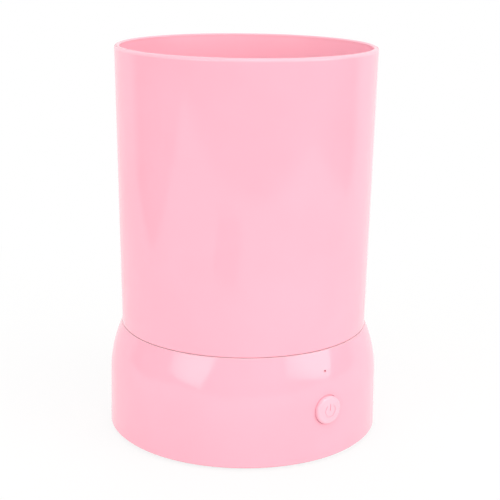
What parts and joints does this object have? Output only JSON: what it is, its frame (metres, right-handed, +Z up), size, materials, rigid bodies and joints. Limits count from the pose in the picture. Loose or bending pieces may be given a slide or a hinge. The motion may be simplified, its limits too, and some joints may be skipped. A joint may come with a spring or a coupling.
{
  "type": "electric cosmetic brush cleaner",
  "caption": "Tapered open cup seated on a rounded base with a push button; a motor in the base turns a scrubbing pad on the cup's floor to wash cosmetic brushes.",
  "frame": {"origin": "centre of the base, on the surface that the feet stand on", "axes": "+Z up along the cup's axis, -Y towards the push button, +Y towards the charging socket"},
  "size_m": [0.1, 0.1014, 0.1414],
  "materials": {
    "pink_gloss": "glossy moulded, pale pink",
    "pink_button": "glossy moulded, lighter pink",
    "pink_cover": "fine spark texture, pale pink",
    "foot_rubber": "matte, grey-pink",
    "silicone_pale": "satin silicone",
    "silicone_pink": "satin silicone, soft pink",
    "rubber_black": "matte",
    "screw_steel": "bright zinc",
    "shaft_steel": "ground stainless",
    "motor_steel": "drawn and plated",
    "bronze": "sintered, oiled",
    "terminal_brass": "stamped, tinned",
    "nickel": "rolled nickel strip",
    "copper_coil": "enamelled winding",
    "ferrite": "sintered, dull",
    "white_plastic": "moulded, off-white",
    "gear_plastic": "moulded acetal, ivory",
    "black_plastic": "moulded",
    "coupling_plastic": "moulded acetal, white",
    "cell_wrap": "shrink wrap, blue",
    "foam": "closed-cell foam tape",
    "board_green": "solder mask on glass fibre",
    "chip_black": "moulded packages",
    "clear": "clear acrylic",
    "socket_steel": "stamped and plated",
    "lead_red": "insulation",
    "lead_black": "insulation",
    "lead_white": "insulation"
  },
  "bodies": {
    "base": {"base_shell": "pink_gloss", "bottom_cover": "pink_cover", "rubber_feet": "foot_rubber", "cover_screws": "screw_steel", "cup_gasket": "silicone_pale", "gear_plate": "white_plastic", "gear_plate_screws": "screw_steel", "motor_can": "motor_steel", "motor_end_cap": "black_plastic", "motor_terminals": "terminal_brass", "motor_screws": "screw_steel", "motor_magnets": "ferrite", "upper_bush": "bronze", "lower_bush": "bronze", "battery_cell": "cell_wrap", "battery_tabs": "nickel", "battery_pad": "foam", "switch_board": "board_green", "switch_body": "black_plastic", "status_led": "clear", "light_guide": "clear", "charge_board": "board_green", "charge_board_screws": "screw_steel", "charge_parts": "chip_black", "usb_shell": "socket_steel", "usb_tongue": "black_plastic", "motor_leads": "lead_black", "battery_leads": "lead_red", "switch_leads": "lead_white"},
    "drive": {"drive_shaft": "shaft_steel", "drive_gear": "gear_plastic", "drive_coupling": "coupling_plastic"},
    "motor_rotor": {"motor_armature": "copper_coil", "motor_shaft": "shaft_steel", "motor_pinion": "terminal_brass"},
    "cup": {"wash_cup": "pink_gloss", "cup_bush": "bronze", "shaft_seal": "rubber_black"},
    "turntable": {"turntable_shaft": "shaft_steel", "driven_coupling": "coupling_plastic", "pad_carrier": "white_plastic", "scrub_pad": "silicone_pink", "pad_cap": "pink_button"},
    "button": {"power_button": "pink_button", "switch_plunger": "black_plastic"}
  },
  "joints": [
    {"name": "drive_spin", "type": "hinge", "parent": "base", "child": "drive", "pos_m": [0, 0, 0.03], "axis": [0, 0, 1], "continuous": true},
    {"name": "motor_spin", "type": "hinge", "parent": "base", "child": "motor_rotor", "pos_m": [0.0225, 0, 0.03], "axis": [0, 0, 1], "continuous": true},
    {"name": "cup_lift", "type": "slide", "parent": "base", "child": "cup", "axis": [0, 0, 1], "range_m": [0, 0.06]},
    {"name": "turntable_spin", "type": "hinge", "parent": "cup", "child": "turntable", "pos_m": [0, 0, 0.05], "axis": [0, 0, 1], "continuous": true},
    {"name": "button_press", "type": "slide", "parent": "base", "child": "button", "axis": [0, 1, 0], "range_m": [0, 0.0006], "stiffness_N_per_m": 2000}
  ],
  "couplings": [
    {"joint": "drive_spin", "follows": "turntable_spin", "ratio": 1},
    {"joint": "motor_spin", "follows": "turntable_spin", "ratio": -4}
  ]
}
